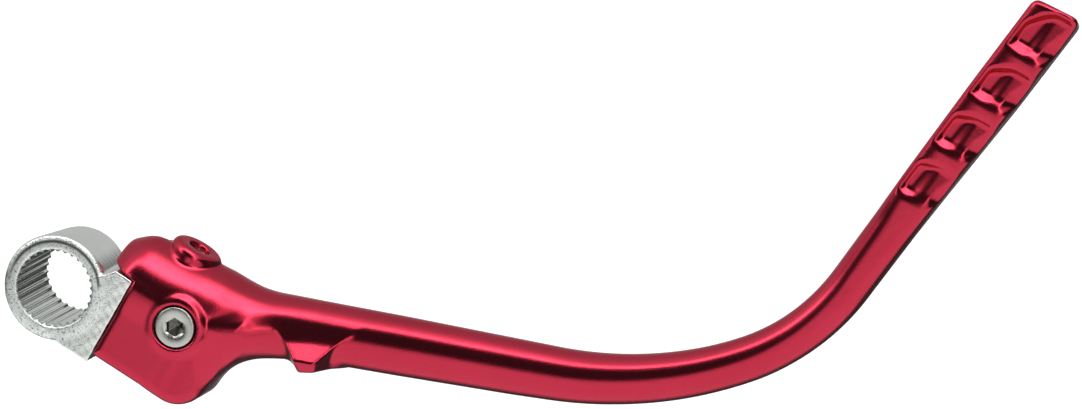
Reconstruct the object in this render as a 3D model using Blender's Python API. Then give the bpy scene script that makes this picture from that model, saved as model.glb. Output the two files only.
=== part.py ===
"""Folding kick-start lever: a splined steel knuckle, and a forged aluminium lever that folds on it.

Frame: the origin is the centre of the splined bore. +Y runs along the bore, +X along the fold
pivot from the bore towards the lever's head, and +Z is the way the foot piece points when stowed.
"""

import math

import bmesh
import bpy
from mathutils import Matrix, Vector

MM = 0.001
GAP = 0.3 * MM  # clearance kept between neighbouring pieces

# Splined ring of the knuckle
RING_R = 13.1 * MM  # at the -Y face, from where it tapers
RING_REAR_R = 11.8 * MM
RING_FRONT_RIM = 0.8 * MM
RING_REAR_RIM = 1.6 * MM
RING_HALF = 12.0 * MM
SPLINE_ROOT_R = 9.5 * MM
SPLINE_TIP_R = 8.7 * MM
SPLINE_TEETH = 30
SPLINE_SHAPE = ((0.0, SPLINE_ROOT_R), (0.3, SPLINE_ROOT_R), (0.5, SPLINE_TIP_R), (0.8, SPLINE_TIP_R))

# Knuckle block, which carries the pivot journal
BLOCK_END_X = 15.9 * MM
BLOCK_START_X = 7.5 * MM
BLOCK_HALF = RING_HALF - 0.02 * MM  # a little short of the ring's faces, so that no faces coincide
BLOCK_LOW_Z = -11.2 * MM
BLOCK_TOP_Z = 12.1 * MM
RELIEF_START_X = 8.3 * MM
RELIEF_FLOOR_Z = 7.0 * MM

# Fold pivot, parallel to X through Y = 0
PIVOT_Z = 8.5 * MM
JOURNAL_R = 7.0 * MM
JOURNAL_END_X = 37.0 * MM

# Lever head
HEAD_START_X = 16.2 * MM
CHEEK_Y = 13.0 * MM
HEAD_LOW_Z = -9.2 * MM
HEAD_CORNER_X = 44.4 * MM
HEAD_CORNER_R = 7.5 * MM
HEAD_ROUNDING = 1.6 * MM
NOSE_UNDER_Z = BLOCK_TOP_Z + GAP
NOSE_BACK_Y = 1.0 * MM

# Seats bored into the head
BUSH_R = 8.6 * MM
BUSH_START_X = 21.0 * MM
BORE_R = BUSH_R + GAP
BORE_END_X = 37.6 * MM
COUNTERBORE_R = 9.8 * MM
COUNTERBORE_END_X = 20.6 * MM

# Retaining screw, which enters the -Y cheek and runs in a groove of the journal
SCREW_X = 30.6 * MM
SCREW_HEAD_R = 5.0 * MM
SCREW_HEAD_H = 3.4 * MM
SCREW_THREAD_R = 3.0 * MM
SCREW_DOG_R = 2.0 * MM
SCREW_DOG_END_Y = -8.8 * MM
SCREW_RIM = 0.4 * MM
SCREW_SOCKET_DEPTH = 2.2 * MM
SCREW_FACE_Y = -12.9 * MM
SCREW_TIP_Y = -5.4 * MM
SCREW_HEX_FLAT = 4.0 * MM
PAD_R = 7.9 * MM
PAD_RIM = 0.9 * MM
PAD_FACE_Y = -13.2 * MM
GROOVE_HALF = 2.4 * MM
GROOVE_R = 5.0 * MM

# Spring detent in the boss on top of the head
BOSS_X = 24.0 * MM
BOSS_R = 6.5 * MM
BOSS_TOP_Z = 25.4 * MM
BOSS_RIM = 1.5 * MM
BOSS_HOLE_R = 2.7 * MM
BALL_R = 2.0 * MM
TRACK_R = 4.9 * MM
TRACK_HALF = 2.5 * MM
DIMPLE_DEPTH = 0.5 * MM
PLUG_H = 2.7 * MM
PLUG_RECESS = 1.5 * MM
PLUG_HEX_FLAT = 2.5 * MM
PLUG_SOCKET_DEPTH = 1.5 * MM
SPRING_WIRE_R = 0.3 * MM
SPRING_TURNS = 3

# Lever arm: a straight, two arcs and the straight foot piece, all in the XZ plane
ARM_START = (60.0 * MM, 23.9 * MM)
ARM_START_ANGLE = math.radians(23.1)
ARM_STRAIGHT = 58.9 * MM
BEND_1_R, BEND_1_TURN = 102.0 * MM, math.radians(27.2)
BEND_2_R, BEND_2_TURN = 57.5 * MM, math.radians(33.0)
FOOT_LENGTH = 86.0 * MM
TIP_OVERHANG = 0.9 * MM
TIP_ROUNDING = 1.1 * MM
TIP_SKEW = (0.22, 0.35)  # the end face leans away from the crook of the arm, and back from its -Y edge

# Foot piece tread
POCKET_COUNT = 4
POCKET_PITCH = 15.2 * MM
POCKET_FIRST = 13.2 * MM  # from the end of the foot piece to the ledge of the first pocket
POCKET_LENGTH = 12.0 * MM
POCKET_DEPTHS = ((0.0, 2.1 * MM), (0.8 * POCKET_LENGTH, 1.7 * MM), (POCKET_LENGTH, 0.3 * MM))


def clear_scene():
    for obj in list(bpy.data.objects):
        bpy.data.objects.remove(obj, do_unlink=True)


def make_material(name, colour, metallic, roughness):
    material = bpy.data.materials.new(name)
    material.use_nodes = True
    shader = material.node_tree.nodes["Principled BSDF"]
    shader.inputs["Base Color"].default_value = (*colour, 1.0)
    shader.inputs["Metallic"].default_value = metallic
    shader.inputs["Roughness"].default_value = roughness
    return material


def add_object(name, bm, material, sharp_angle=math.radians(35)):
    bmesh.ops.remove_doubles(bm, verts=bm.verts, dist=1e-7)
    bmesh.ops.recalc_face_normals(bm, faces=bm.faces)
    mesh = bpy.data.meshes.new(name)
    bm.to_mesh(mesh)
    bm.free()
    mesh.shade_smooth()
    mesh.set_sharp_from_angle(angle=sharp_angle)
    mesh.materials.append(material)
    obj = bpy.data.objects.new(name, mesh)
    bpy.context.scene.collection.objects.link(obj)
    return obj


def join_rings(bm, rings, closed=False):
    """Skins a list of vertex rings, and caps the two ends unless the skin is closed on itself."""
    count = len(rings[0])
    pairs = list(zip(rings, rings[1:]))
    if closed:
        pairs.append((rings[-1], rings[0]))
    for low, high in pairs:
        for i in range(count):
            j = (i + 1) % count
            bm.faces.new((low[i], low[j], high[j], high[i]))
    if not closed:
        bm.faces.new(list(reversed(rings[0])))
        bm.faces.new(rings[-1])


def frame_along(axis, origin):
    """Matrix that sends +Z to the axis and the zero point to the origin."""
    turn = Vector((0, 0, 1)).rotation_difference(Vector(axis))
    return Matrix.Translation(origin) @ turn.to_matrix().to_4x4()


def turned_solid(profile, axis, origin, steps=48, annular=False):
    """Solid of revolution. The profile holds (distance along the axis, radius) points."""
    bm = bmesh.new()
    place = frame_along(axis, origin)
    rings = []
    for along, radius in profile:
        ring = []
        for i in range(steps):
            turn = 2 * math.pi * i / steps
            point = Vector((radius * math.cos(turn), radius * math.sin(turn), along))
            ring.append(bm.verts.new(place @ point))
        rings.append(ring)
    join_rings(bm, rings, closed=annular)
    return bm


def prism(outline, low_y, high_y):
    """Prism along Y from an outline of (x, z) points."""
    bm = bmesh.new()
    rings = [[bm.verts.new((x, y, z)) for x, z in outline] for y in (low_y, high_y)]
    join_rings(bm, rings)
    return bm


def block(low, high):
    outline = [(low[0], low[2]), (high[0], low[2]), (high[0], high[2]), (low[0], high[2])]
    return prism(outline, low[1], high[1])


def hex_prism(flat, length, axis, origin, turn=0.0):
    """Hexagonal prism, with its corners at the given turn from the local X axis."""
    bm = bmesh.new()
    place = frame_along(axis, origin)
    corner_r = flat / math.sqrt(3)
    rings = []
    for along in (0.0, length):
        ring = []
        for i in range(6):
            angle = turn + math.pi * i / 3
            point = Vector((corner_r * math.cos(angle), corner_r * math.sin(angle), along))
            ring.append(bm.verts.new(place @ point))
        rings.append(ring)
    join_rings(bm, rings)
    return bm


def arc(centre_x, centre_z, radius, start, end, steps):
    """Points (x, z) along an arc, with the angles in degrees from +X towards +Z."""
    points = []
    for i in range(steps + 1):
        angle = math.radians(start + (end - start) * i / steps)
        points.append((centre_x + radius * math.cos(angle), centre_z + radius * math.sin(angle)))
    return points


def combine(target, tool, operation):
    """Joins or cuts the target with a tool, which stays in the scene as a hidden helper."""
    tool.hide_render = True
    tool.display_type = "WIRE"
    modifier = target.modifiers.new(tool.name, "BOOLEAN")
    modifier.operation = operation
    modifier.object = tool
    modifier.solver = "EXACT"


def round_edges(obj, width, segments=2, angle=math.radians(40)):
    modifier = obj.modifiers.new("Rounding", "BEVEL")
    modifier.width = width
    modifier.segments = segments
    modifier.limit_method = "ANGLE"
    modifier.angle_limit = angle


# Knuckle


def spline_outline():
    """Bore outline with a flat-topped tooth for each pitch."""
    points = []
    pitch = 2 * math.pi / SPLINE_TEETH
    for tooth in range(SPLINE_TEETH):
        for share, radius in SPLINE_SHAPE:
            angle = (tooth + share) * pitch
            points.append((radius * math.cos(angle), radius * math.sin(angle)))
    return points


def make_knuckle(material):
    ring_profile = [
        (-RING_HALF, RING_R - RING_FRONT_RIM),
        (-RING_HALF + 0.3 * RING_FRONT_RIM, RING_R - 0.3 * RING_FRONT_RIM),
        (-RING_HALF + RING_FRONT_RIM, RING_R),
        (RING_HALF - RING_REAR_RIM, RING_REAR_R),
        (RING_HALF - 0.3 * RING_REAR_RIM, RING_REAR_R - 0.3 * RING_REAR_RIM),
        (RING_HALF, RING_REAR_R - RING_REAR_RIM),
    ]
    knuckle = add_object("knuckle", turned_solid(ring_profile, (0, 1, 0), (0, 0, 0), 64), material)

    outline = [
        (2 * MM, BLOCK_LOW_Z + 1 * MM),
        (BLOCK_START_X, BLOCK_LOW_Z),
        (BLOCK_END_X, BLOCK_LOW_Z),
        (BLOCK_END_X, BLOCK_TOP_Z),
        (11.2 * MM, BLOCK_TOP_Z),
        (8.2 * MM, 9.4 * MM),
        (2 * MM, 8 * MM),
    ]
    body = add_object("knuckle_block", prism(outline, -BLOCK_HALF, BLOCK_HALF), material)
    combine(knuckle, body, "UNION")

    relief = add_object(
        "nose_relief",
        block((RELIEF_START_X, 0, RELIEF_FLOOR_Z), (BLOCK_END_X + 2 * MM, 20 * MM, 20 * MM)),
        material,
    )
    neck_r = NOSE_UNDER_Z - PIVOT_Z - GAP
    neck_profile = [(RELIEF_START_X - 5 * MM, neck_r), (RELIEF_START_X + 15 * MM, neck_r)]
    neck = turned_solid(neck_profile, (1, 0, 0), (0, 0, PIVOT_Z), 40)
    combine(relief, add_object("relief_neck", neck, material), "DIFFERENCE")
    combine(knuckle, relief, "DIFFERENCE")

    root_x = BLOCK_END_X - 0.3 * MM
    journal_profile = [
        (BLOCK_END_X - 3 * MM, 0.9 * neck_r),
        (root_x, 0.9 * neck_r),
        (root_x, JOURNAL_R),
        (BOSS_X - TRACK_HALF, JOURNAL_R),
        (BOSS_X - 0.6 * TRACK_HALF, TRACK_R),
        (BOSS_X + 0.6 * TRACK_HALF, TRACK_R),
        (BOSS_X + TRACK_HALF, JOURNAL_R),
        (SCREW_X - GROOVE_HALF, JOURNAL_R),
        (SCREW_X - GROOVE_HALF, GROOVE_R),
        (SCREW_X + GROOVE_HALF, GROOVE_R),
        (SCREW_X + GROOVE_HALF, JOURNAL_R),
        (JOURNAL_END_X - 1 * MM, JOURNAL_R),
        (JOURNAL_END_X, JOURNAL_R - 1 * MM),
    ]
    journal = turned_solid(journal_profile, (1, 0, 0), (0, 0, PIVOT_Z), 48)
    combine(knuckle, add_object("journal", journal, material), "UNION")

    for name, direction in (("dimple_stowed", (0, 0, 1)), ("dimple_open", (0, -1, 0))):
        centre = Vector((BOSS_X, 0, PIVOT_Z)) + Vector(direction) * (TRACK_R + BALL_R - DIMPLE_DEPTH)
        bm = bmesh.new()
        bmesh.ops.create_icosphere(bm, subdivisions=2, radius=BALL_R, matrix=Matrix.Translation(centre))
        combine(knuckle, add_object(name, bm, material), "DIFFERENCE")

    bore = prism(spline_outline(), -RING_HALF - 1 * MM, RING_HALF + 1 * MM)
    combine(knuckle, add_object("splined_bore", bore, material), "DIFFERENCE")
    return knuckle


# Lever arm


def arm_point(distance):
    """Centre line of the arm at a distance from ARM_START: (x, z, angle from +X)."""
    x, z = ARM_START
    angle = ARM_START_ANGLE
    step = min(distance, ARM_STRAIGHT)
    x += step * math.cos(angle)
    z += step * math.sin(angle)
    distance -= step
    for radius, turn in ((BEND_1_R, BEND_1_TURN), (BEND_2_R, BEND_2_TURN)):
        step = min(max(distance, 0.0), radius * turn)
        end = angle + step / radius
        x += radius * (math.sin(end) - math.sin(angle))
        z -= radius * (math.cos(end) - math.cos(angle))
        angle = end
        distance -= step
    step = max(distance, 0.0)
    return x + step * math.cos(angle), z + step * math.sin(angle), angle


ARM_LENGTH = ARM_STRAIGHT + BEND_1_R * BEND_1_TURN + BEND_2_R * BEND_2_TURN + FOOT_LENGTH


def blend_rows(rows, at):
    """Values at a position, interpolated between rows of (position, value, ...)."""
    if at <= rows[0][0]:
        return rows[0][1:]
    for low, high in zip(rows, rows[1:]):
        if at <= high[0]:
            share = (at - low[0]) / (high[0] - low[0])
            return [a + (b - a) * share for a, b in zip(low[1:], high[1:])]
    return rows[-1][1:]


# Distance from ARM_START, half depth along Y, half width in the XZ plane, squareness
ARM_SECTIONS = [
    (0 * MM, 7.6 * MM, 7.6 * MM, 2.1),
    (20 * MM, 7.2 * MM, 7.3 * MM, 2.1),
    (50 * MM, 6.9 * MM, 6.9 * MM, 2.1),
    (75 * MM, 6.4 * MM, 6.3 * MM, 2.1),
    (100 * MM, 6.0 * MM, 5.7 * MM, 2.1),
    (120 * MM, 5.8 * MM, 5.4 * MM, 2.1),
    (142 * MM, 5.6 * MM, 5.3 * MM, 2.2),
    (160 * MM, 5.7 * MM, 5.4 * MM, 2.7),
    (172 * MM, 5.8 * MM, 5.6 * MM, 4.4),
    (200 * MM, 6.1 * MM, 6.1 * MM, 5.6),
    (230 * MM, 6.2 * MM, 6.3 * MM, 5.6),
]

# Head barrel: x, z of the centre, tilt in degrees, half depth, half height
HEAD_SECTIONS = [
    (8.6 * MM, 14.8 * MM, 0, 6.0 * MM, 1.6 * MM),
    (9.4 * MM, 14.3 * MM, 0, 9.0 * MM, 3.3 * MM),
    (10.8 * MM, 13.3 * MM, 0, 11.4 * MM, 5.7 * MM),
    (12.6 * MM, 12.0 * MM, 0, 12.6 * MM, 8.5 * MM),
    (15.0 * MM, 10.3 * MM, 0, 13.6 * MM, 11.5 * MM),
    (18.0 * MM, 9.0 * MM, 0, 14.0 * MM, 13.8 * MM),
    (24.0 * MM, 9.4 * MM, 0, 14.0 * MM, 14.0 * MM),
    (31.0 * MM, 10.8 * MM, 4, 13.2 * MM, 13.0 * MM),
    (37.0 * MM, 12.8 * MM, 9, 11.9 * MM, 11.3 * MM),
    (43.0 * MM, 15.4 * MM, 15, 10.4 * MM, 9.6 * MM),
    (49.0 * MM, 18.4 * MM, 20, 9.0 * MM, 8.4 * MM),
    (54.5 * MM, 21.4 * MM, 22.5, 8.0 * MM, 7.7 * MM),
]
SECTION_POINTS = 32


def section_ring(bm, x, z, angle, half_depth, half_width, squareness, skew=(0.0, 0.0)):
    """Superellipse across the direction (cos angle, sin angle) in the XZ plane.

    A skew moves each point along that direction, by its shares of the offsets down and towards +Y.
    """
    ring = []
    for i in range(SECTION_POINTS):
        turn = 2 * math.pi * i / SECTION_POINTS
        side = math.copysign(abs(math.cos(turn)) ** (2 / squareness), math.cos(turn)) * half_depth
        up = math.copysign(abs(math.sin(turn)) ** (2 / squareness), math.sin(turn)) * half_width
        side = max(-CHEEK_Y + 0.05 * MM, min(CHEEK_Y - 0.05 * MM, side))
        along = -skew[0] * up - skew[1] * (side + half_depth)
        point_x = x - up * math.sin(angle) + along * math.cos(angle)
        point_z = z + up * math.cos(angle) + along * math.sin(angle)
        ring.append(bm.verts.new((point_x, side, point_z)))
    return ring


def arm_bmesh():
    bm = bmesh.new()
    rings = [
        section_ring(bm, x, z, math.radians(tilt), depth, height, 2.0)
        for x, z, tilt, depth, height in HEAD_SECTIONS
    ]
    steps = 46
    for i in range(steps):
        distance = ARM_LENGTH * i / steps
        x, z, angle = arm_point(distance)
        depth, width, squareness = blend_rows(ARM_SECTIONS, distance)
        rings.append(section_ring(bm, x, z, angle, depth, width, squareness))
    depth, width, squareness = ARM_SECTIONS[-1][1:]
    for beyond, inset in ((0.0, 0.0), (0.7 * TIP_ROUNDING, 0.3 * TIP_ROUNDING), (TIP_ROUNDING, TIP_ROUNDING)):
        x, z, angle = arm_point(ARM_LENGTH + TIP_OVERHANG + beyond)
        rings.append(section_ring(bm, x, z, angle, depth - inset, width - inset, squareness, TIP_SKEW))
    join_rings(bm, rings)
    return bm


def head_outline():
    """Side outline of the flat-cheeked part of the head."""
    corner_x = HEAD_CORNER_X - HEAD_CORNER_R
    corner_z = HEAD_LOW_Z + HEAD_CORNER_R
    return (
        [(HEAD_START_X, HEAD_LOW_Z)]
        + arc(corner_x, corner_z, HEAD_CORNER_R, -90, 0, 6)
        + arc(HEAD_CORNER_X + 14.5 * MM, 0.5 * MM, 14.5 * MM, 180, 124, 6)
        + [(48 * MM, 15.5 * MM), (44 * MM, 14 * MM), (36 * MM, 13.2 * MM), (HEAD_START_X, 13.4 * MM)]
    )


# Where the cheeks draw in towards the arm: x and half depth
CHEEK_TAPER = [
    (31.0 * MM, CHEEK_Y + 0.05 * MM),
    (35.0 * MM, 12.5 * MM),
    (39.0 * MM, 11.1 * MM),
    (42.0 * MM, 9.2 * MM),
    (HEAD_CORNER_X, 7.1 * MM),
    (HEAD_CORNER_X + 8 * MM, 6.5 * MM),
]


def cheek_taper_bmesh():
    """Cutter for one side, where the cheek draws in towards the arm. It is mirrored for the other."""
    bm = bmesh.new()
    outer = 20 * MM
    outline = CHEEK_TAPER + [(CHEEK_TAPER[-1][0], outer), (CHEEK_TAPER[0][0], outer)]
    rings = [[bm.verts.new((x, y, z)) for x, y in outline] for z in (-20 * MM, 30 * MM)]
    join_rings(bm, rings)
    return bm


# Faces of the fold stop lug: a normal and its reach, along the arm from ARM_START, down across the
# arm from its centre line, and out towards -Y
LUG_FACES = [
    ((0.0, -0.588, 0.809), 6.2 * MM),
    ((0.0, 0.6, 0.8), 13.3 * MM),
    ((0.16, 0.99, 0.0), 8.6 * MM),
    ((-0.80, 0.484, 0.36), 9.3 * MM),
    ((0.82, 0.435, 0.37), 9.0 * MM),
]
LUG_LOW = Vector((-12 * MM, -2.5 * MM, -2 * MM))
LUG_HIGH = Vector((12 * MM, 12 * MM, 14 * MM))


def lug_bmesh():
    """Fold stop lug under the arm, which stands proud of its -Y side: a block, cut by each face in turn."""
    bm = block(LUG_LOW, LUG_HIGH)
    for normal, reach in LUG_FACES:
        normal = Vector(normal)
        cut = bmesh.ops.bisect_plane(
            bm,
            geom=bm.verts[:] + bm.edges[:] + bm.faces[:],
            plane_co=normal.normalized() * reach / normal.length,
            plane_no=normal,
            clear_outer=True,
        )
        rim = [item for item in cut["geom_cut"] if isinstance(item, bmesh.types.BMEdge)]
        bmesh.ops.edgeloop_fill(bm, edges=rim)
    along = Vector((math.cos(ARM_START_ANGLE), 0, math.sin(ARM_START_ANGLE)))
    down = Vector((math.sin(ARM_START_ANGLE), 0, -math.cos(ARM_START_ANGLE)))
    place = Matrix((along, down, (0, -1, 0))).transposed().to_4x4()
    place.translation = (ARM_START[0], 0, ARM_START[1])
    bmesh.ops.transform(bm, matrix=place, verts=bm.verts)
    return bm


def pocket_bmesh(index):
    """Cutter for one tread pocket: a wedge that is deepest at its ledge."""
    ledge = ARM_LENGTH - POCKET_FIRST - index * POCKET_PITCH
    depth, width, _ = blend_rows(ARM_SECTIONS, ledge)
    bm = bmesh.new()
    rings = []
    for along, cut in POCKET_DEPTHS:
        x, z, angle = arm_point(ledge + along)
        across = Vector((math.sin(angle), 0, -math.cos(angle)))
        ring = []
        for sideways, y in (
            (-0.6 * width, -depth - 2 * MM),
            (width + 3 * MM, -depth - 2 * MM),
            (width + 3 * MM, 0.1 * depth),
            (width - 0.1 * cut, 0.1 * depth),
            (width - 0.5 * cut, -0.5 * depth),
            (0.45 * width, -depth + 1.2 * cut),
            (-0.6 * width, -depth + cut),
        ):
            ring.append(bm.verts.new(Vector((x, y, z)) + across * sideways))
        rings.append(ring)
    join_rings(bm, rings)
    return bm


def make_lever_arm(material):
    arm = add_object("lever_arm", arm_bmesh(), material)

    below_nose = block((0, -20 * MM, -20 * MM), (HEAD_START_X, 20 * MM, NOSE_UNDER_Z))
    combine(arm, add_object("nose_underside", below_nose, material), "DIFFERENCE")
    behind_nose = block((0, NOSE_BACK_Y, -20 * MM), (HEAD_START_X, 20 * MM, 30 * MM))
    combine(arm, add_object("nose_back", behind_nose, material), "DIFFERENCE")

    head = add_object("head_body", prism(head_outline(), -CHEEK_Y, CHEEK_Y), material)
    for side in (1, -1):
        tool = cheek_taper_bmesh()
        bmesh.ops.scale(tool, vec=(1, side, 1), verts=tool.verts)
        combine(head, add_object(f"cheek_taper_{side}", tool, material), "DIFFERENCE")
    round_edges(head, HEAD_ROUNDING, 3)
    combine(arm, head, "UNION")

    boss_profile = [
        (12 * MM, BOSS_R),
        (BOSS_TOP_Z - BOSS_RIM, BOSS_R),
        (BOSS_TOP_Z - 0.3 * BOSS_RIM, BOSS_R - 0.3 * BOSS_RIM),
        (BOSS_TOP_Z, BOSS_R - BOSS_RIM),
    ]
    boss = turned_solid(boss_profile, (0, 0, 1), (BOSS_X, 0, 0), 40)
    combine(arm, add_object("boss", boss, material), "UNION")

    pad_profile = [
        (6 * MM, PAD_R),
        (-PAD_FACE_Y - PAD_RIM, PAD_R),
        (-PAD_FACE_Y, PAD_R - PAD_RIM),
    ]
    pad = turned_solid(pad_profile, (0, -1, 0), (SCREW_X, 0, PIVOT_Z), 40)
    combine(arm, add_object("screw_pad", pad, material), "UNION")

    lug = add_object("stop_lug", lug_bmesh(), material)
    round_edges(lug, 0.8 * MM)
    combine(arm, lug, "UNION")

    bore_profile = [
        (HEAD_START_X - 1 * MM, COUNTERBORE_R),
        (COUNTERBORE_END_X, COUNTERBORE_R),
        (COUNTERBORE_END_X, BORE_R),
        (BORE_END_X, BORE_R),
    ]
    bore = turned_solid(bore_profile, (1, 0, 0), (0, 0, PIVOT_Z), 48)
    combine(arm, add_object("pivot_bore", bore, material), "DIFFERENCE")

    seat = -SCREW_FACE_Y - SCREW_HEAD_H - GAP
    screw_hole_profile = [
        (7 * MM, SCREW_THREAD_R + GAP),
        (seat, SCREW_THREAD_R + GAP),
        (seat, SCREW_HEAD_R + GAP),
        (-PAD_FACE_Y - 0.5 * MM, SCREW_HEAD_R + GAP),
        (-PAD_FACE_Y + 1 * MM, SCREW_HEAD_R + 0.8 * MM),
    ]
    screw_hole = turned_solid(screw_hole_profile, (0, -1, 0), (SCREW_X, 0, PIVOT_Z), 40)
    combine(arm, add_object("screw_hole", screw_hole, material), "DIFFERENCE")

    hole_profile = [(PIVOT_Z + 7 * MM, BOSS_HOLE_R), (BOSS_TOP_Z + 1 * MM, BOSS_HOLE_R)]
    hole = turned_solid(hole_profile, (0, 0, 1), (BOSS_X, 0, 0), 32)
    combine(arm, add_object("detent_hole", hole, material), "DIFFERENCE")

    for index in range(POCKET_COUNT):
        pocket = add_object(f"pocket_{index + 1}", pocket_bmesh(index), material)
        combine(arm, pocket, "DIFFERENCE")
    return arm


# Pivot and detent pieces


def make_bush(material):
    inner = JOURNAL_R + GAP
    end = BORE_END_X - GAP
    profile = [(BUSH_START_X, inner), (end, inner), (end, BUSH_R), (BUSH_START_X, BUSH_R)]
    sleeve = turned_solid(profile, (1, 0, 0), (0, 0, PIVOT_Z), 48, annular=True)
    bush = add_object("pivot_bush", sleeve, material)
    for name, axis, x, radius in (
        ("bush_ball_hole", (0, 0, 1), BOSS_X, BOSS_HOLE_R),
        ("bush_screw_hole", (0, -1, 0), SCREW_X, SCREW_DOG_R + GAP),
    ):
        tool = turned_solid([(4 * MM, radius), (14 * MM, radius)], axis, (x, 0, PIVOT_Z), 32)
        combine(bush, add_object(name, tool, material), "DIFFERENCE")
    return bush


def make_washer(material):
    start = BLOCK_END_X + GAP
    end = start + 1.1 * MM
    inner, outer = JOURNAL_R + GAP, COUNTERBORE_R - GAP
    profile = [(start, inner), (end, inner), (end, outer), (start, outer)]
    washer = turned_solid(profile, (1, 0, 0), (0, 0, PIVOT_Z), 48, annular=True)
    return add_object("thrust_washer", washer, material)


def make_seal(material):
    ring_r = 0.5 * (JOURNAL_R + COUNTERBORE_R)
    cord_r = 0.5 * (COUNTERBORE_R - JOURNAL_R) - GAP
    centre_x = BLOCK_END_X + 1.1 * MM + 2 * GAP + cord_r
    sides = 14
    profile = []
    for i in range(sides):
        turn = 2 * math.pi * i / sides
        profile.append((centre_x + cord_r * math.cos(turn), ring_r + cord_r * math.sin(turn)))
    seal = turned_solid(profile, (1, 0, 0), (0, 0, PIVOT_Z), 48, annular=True)
    return add_object("dust_seal", seal, material)


def make_screw(material):
    face = -SCREW_FACE_Y
    head_back = face - SCREW_HEAD_H
    profile = [
        (-SCREW_TIP_Y, SCREW_DOG_R),
        (-SCREW_DOG_END_Y, SCREW_DOG_R),
        (-SCREW_DOG_END_Y + 0.3 * MM, SCREW_THREAD_R),
        (head_back, SCREW_THREAD_R),
        (head_back, SCREW_HEAD_R),
        (face - SCREW_RIM, SCREW_HEAD_R),
        (face, SCREW_HEAD_R - SCREW_RIM),
    ]
    body = turned_solid(profile, (0, -1, 0), (SCREW_X, 0, PIVOT_Z), 40)
    screw = add_object("retaining_screw", body, material)
    floor = (SCREW_X, SCREW_FACE_Y + SCREW_SOCKET_DEPTH, PIVOT_Z)
    socket = hex_prism(SCREW_HEX_FLAT, SCREW_SOCKET_DEPTH + 1 * MM, (0, -1, 0), floor)
    combine(screw, add_object("screw_socket", socket, material), "DIFFERENCE")
    return screw


BALL_Z = PIVOT_Z + TRACK_R + GAP + BALL_R
PLUG_TOP_Z = BOSS_TOP_Z - PLUG_RECESS


def make_ball(material):
    bm = bmesh.new()
    bmesh.ops.create_icosphere(bm, subdivisions=3, radius=BALL_R)
    ball = add_object("detent_ball", bm, material)
    ball.location = (BOSS_X, 0, BALL_Z)
    return ball


def make_spring(material):
    """Compression spring between the ball and the plug, as a round wire swept along a helix."""
    low = BALL_Z + BALL_R + GAP + SPRING_WIRE_R
    high = PLUG_TOP_Z - PLUG_H - GAP - SPRING_WIRE_R
    coil_r = BOSS_HOLE_R - GAP - SPRING_WIRE_R
    steps_per_turn, sides = 20, 8
    bm = bmesh.new()
    rings = []
    for i in range(SPRING_TURNS * steps_per_turn + 1):
        turn = 2 * math.pi * i / steps_per_turn
        z = low + (high - low) * i / (SPRING_TURNS * steps_per_turn)
        outward = Vector((math.cos(turn), math.sin(turn), 0))
        centre = Vector((BOSS_X, 0, z)) + outward * coil_r
        ring = []
        for j in range(sides):
            around = 2 * math.pi * j / sides
            offset = outward * math.cos(around) + Vector((0, 0, 1)) * math.sin(around)
            ring.append(bm.verts.new(centre + offset * SPRING_WIRE_R))
        rings.append(ring)
    join_rings(bm, rings)
    return add_object("detent_spring", bm, material)


def make_plug(material):
    radius = BOSS_HOLE_R - GAP
    low = PLUG_TOP_Z - PLUG_H
    profile = [
        (low, radius - 0.3 * MM),
        (low + 0.3 * MM, radius),
        (PLUG_TOP_Z - 0.2 * MM, radius),
        (PLUG_TOP_Z, radius - 0.2 * MM),
    ]
    plug = add_object("detent_plug", turned_solid(profile, (0, 0, 1), (BOSS_X, 0, 0), 32), material)
    floor = (BOSS_X, 0, PLUG_TOP_Z - PLUG_SOCKET_DEPTH)
    socket = hex_prism(PLUG_HEX_FLAT, PLUG_SOCKET_DEPTH + 1 * MM, (0, 0, 1), floor)
    combine(plug, add_object("plug_socket", socket, material), "DIFFERENCE")
    return plug


def main():
    clear_scene()
    zinc = make_material("zinc_plated_steel", (0.60, 0.62, 0.60), 1.0, 0.38)
    red = make_material("red_anodised_aluminium", (0.50, 0.018, 0.045), 0.9, 0.32)
    bronze = make_material("bronze", (0.48, 0.29, 0.12), 1.0, 0.35)
    steel = make_material("bright_steel", (0.66, 0.66, 0.64), 1.0, 0.22)
    spring_steel = make_material("spring_steel", (0.34, 0.34, 0.36), 1.0, 0.35)
    rubber = make_material("black_rubber", (0.02, 0.02, 0.02), 0.0, 0.7)

    make_knuckle(zinc)
    moving = [
        make_lever_arm(red),
        make_bush(bronze),
        make_washer(steel),
        make_seal(rubber),
        make_screw(steel),
        make_ball(steel),
        make_spring(spring_steel),
        make_plug(steel),
    ]
    fold_axis = bpy.data.objects.new("fold_axis", None)
    fold_axis.location = (BLOCK_END_X, 0, PIVOT_Z)
    bpy.context.scene.collection.objects.link(fold_axis)
    bpy.context.view_layer.update()
    for obj in moving:
        obj.parent = fold_axis
        obj.matrix_parent_inverse = fold_axis.matrix_world.inverted()


main()
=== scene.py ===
"""Folding kick-start lever: the looks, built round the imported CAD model.

The arm and the knuckle are distance fields, meshed and scaled from millimetres to metres at the end.
"""
import math

import bmesh
import bpy
import numpy as np
from mathutils import Matrix, Vector


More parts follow.
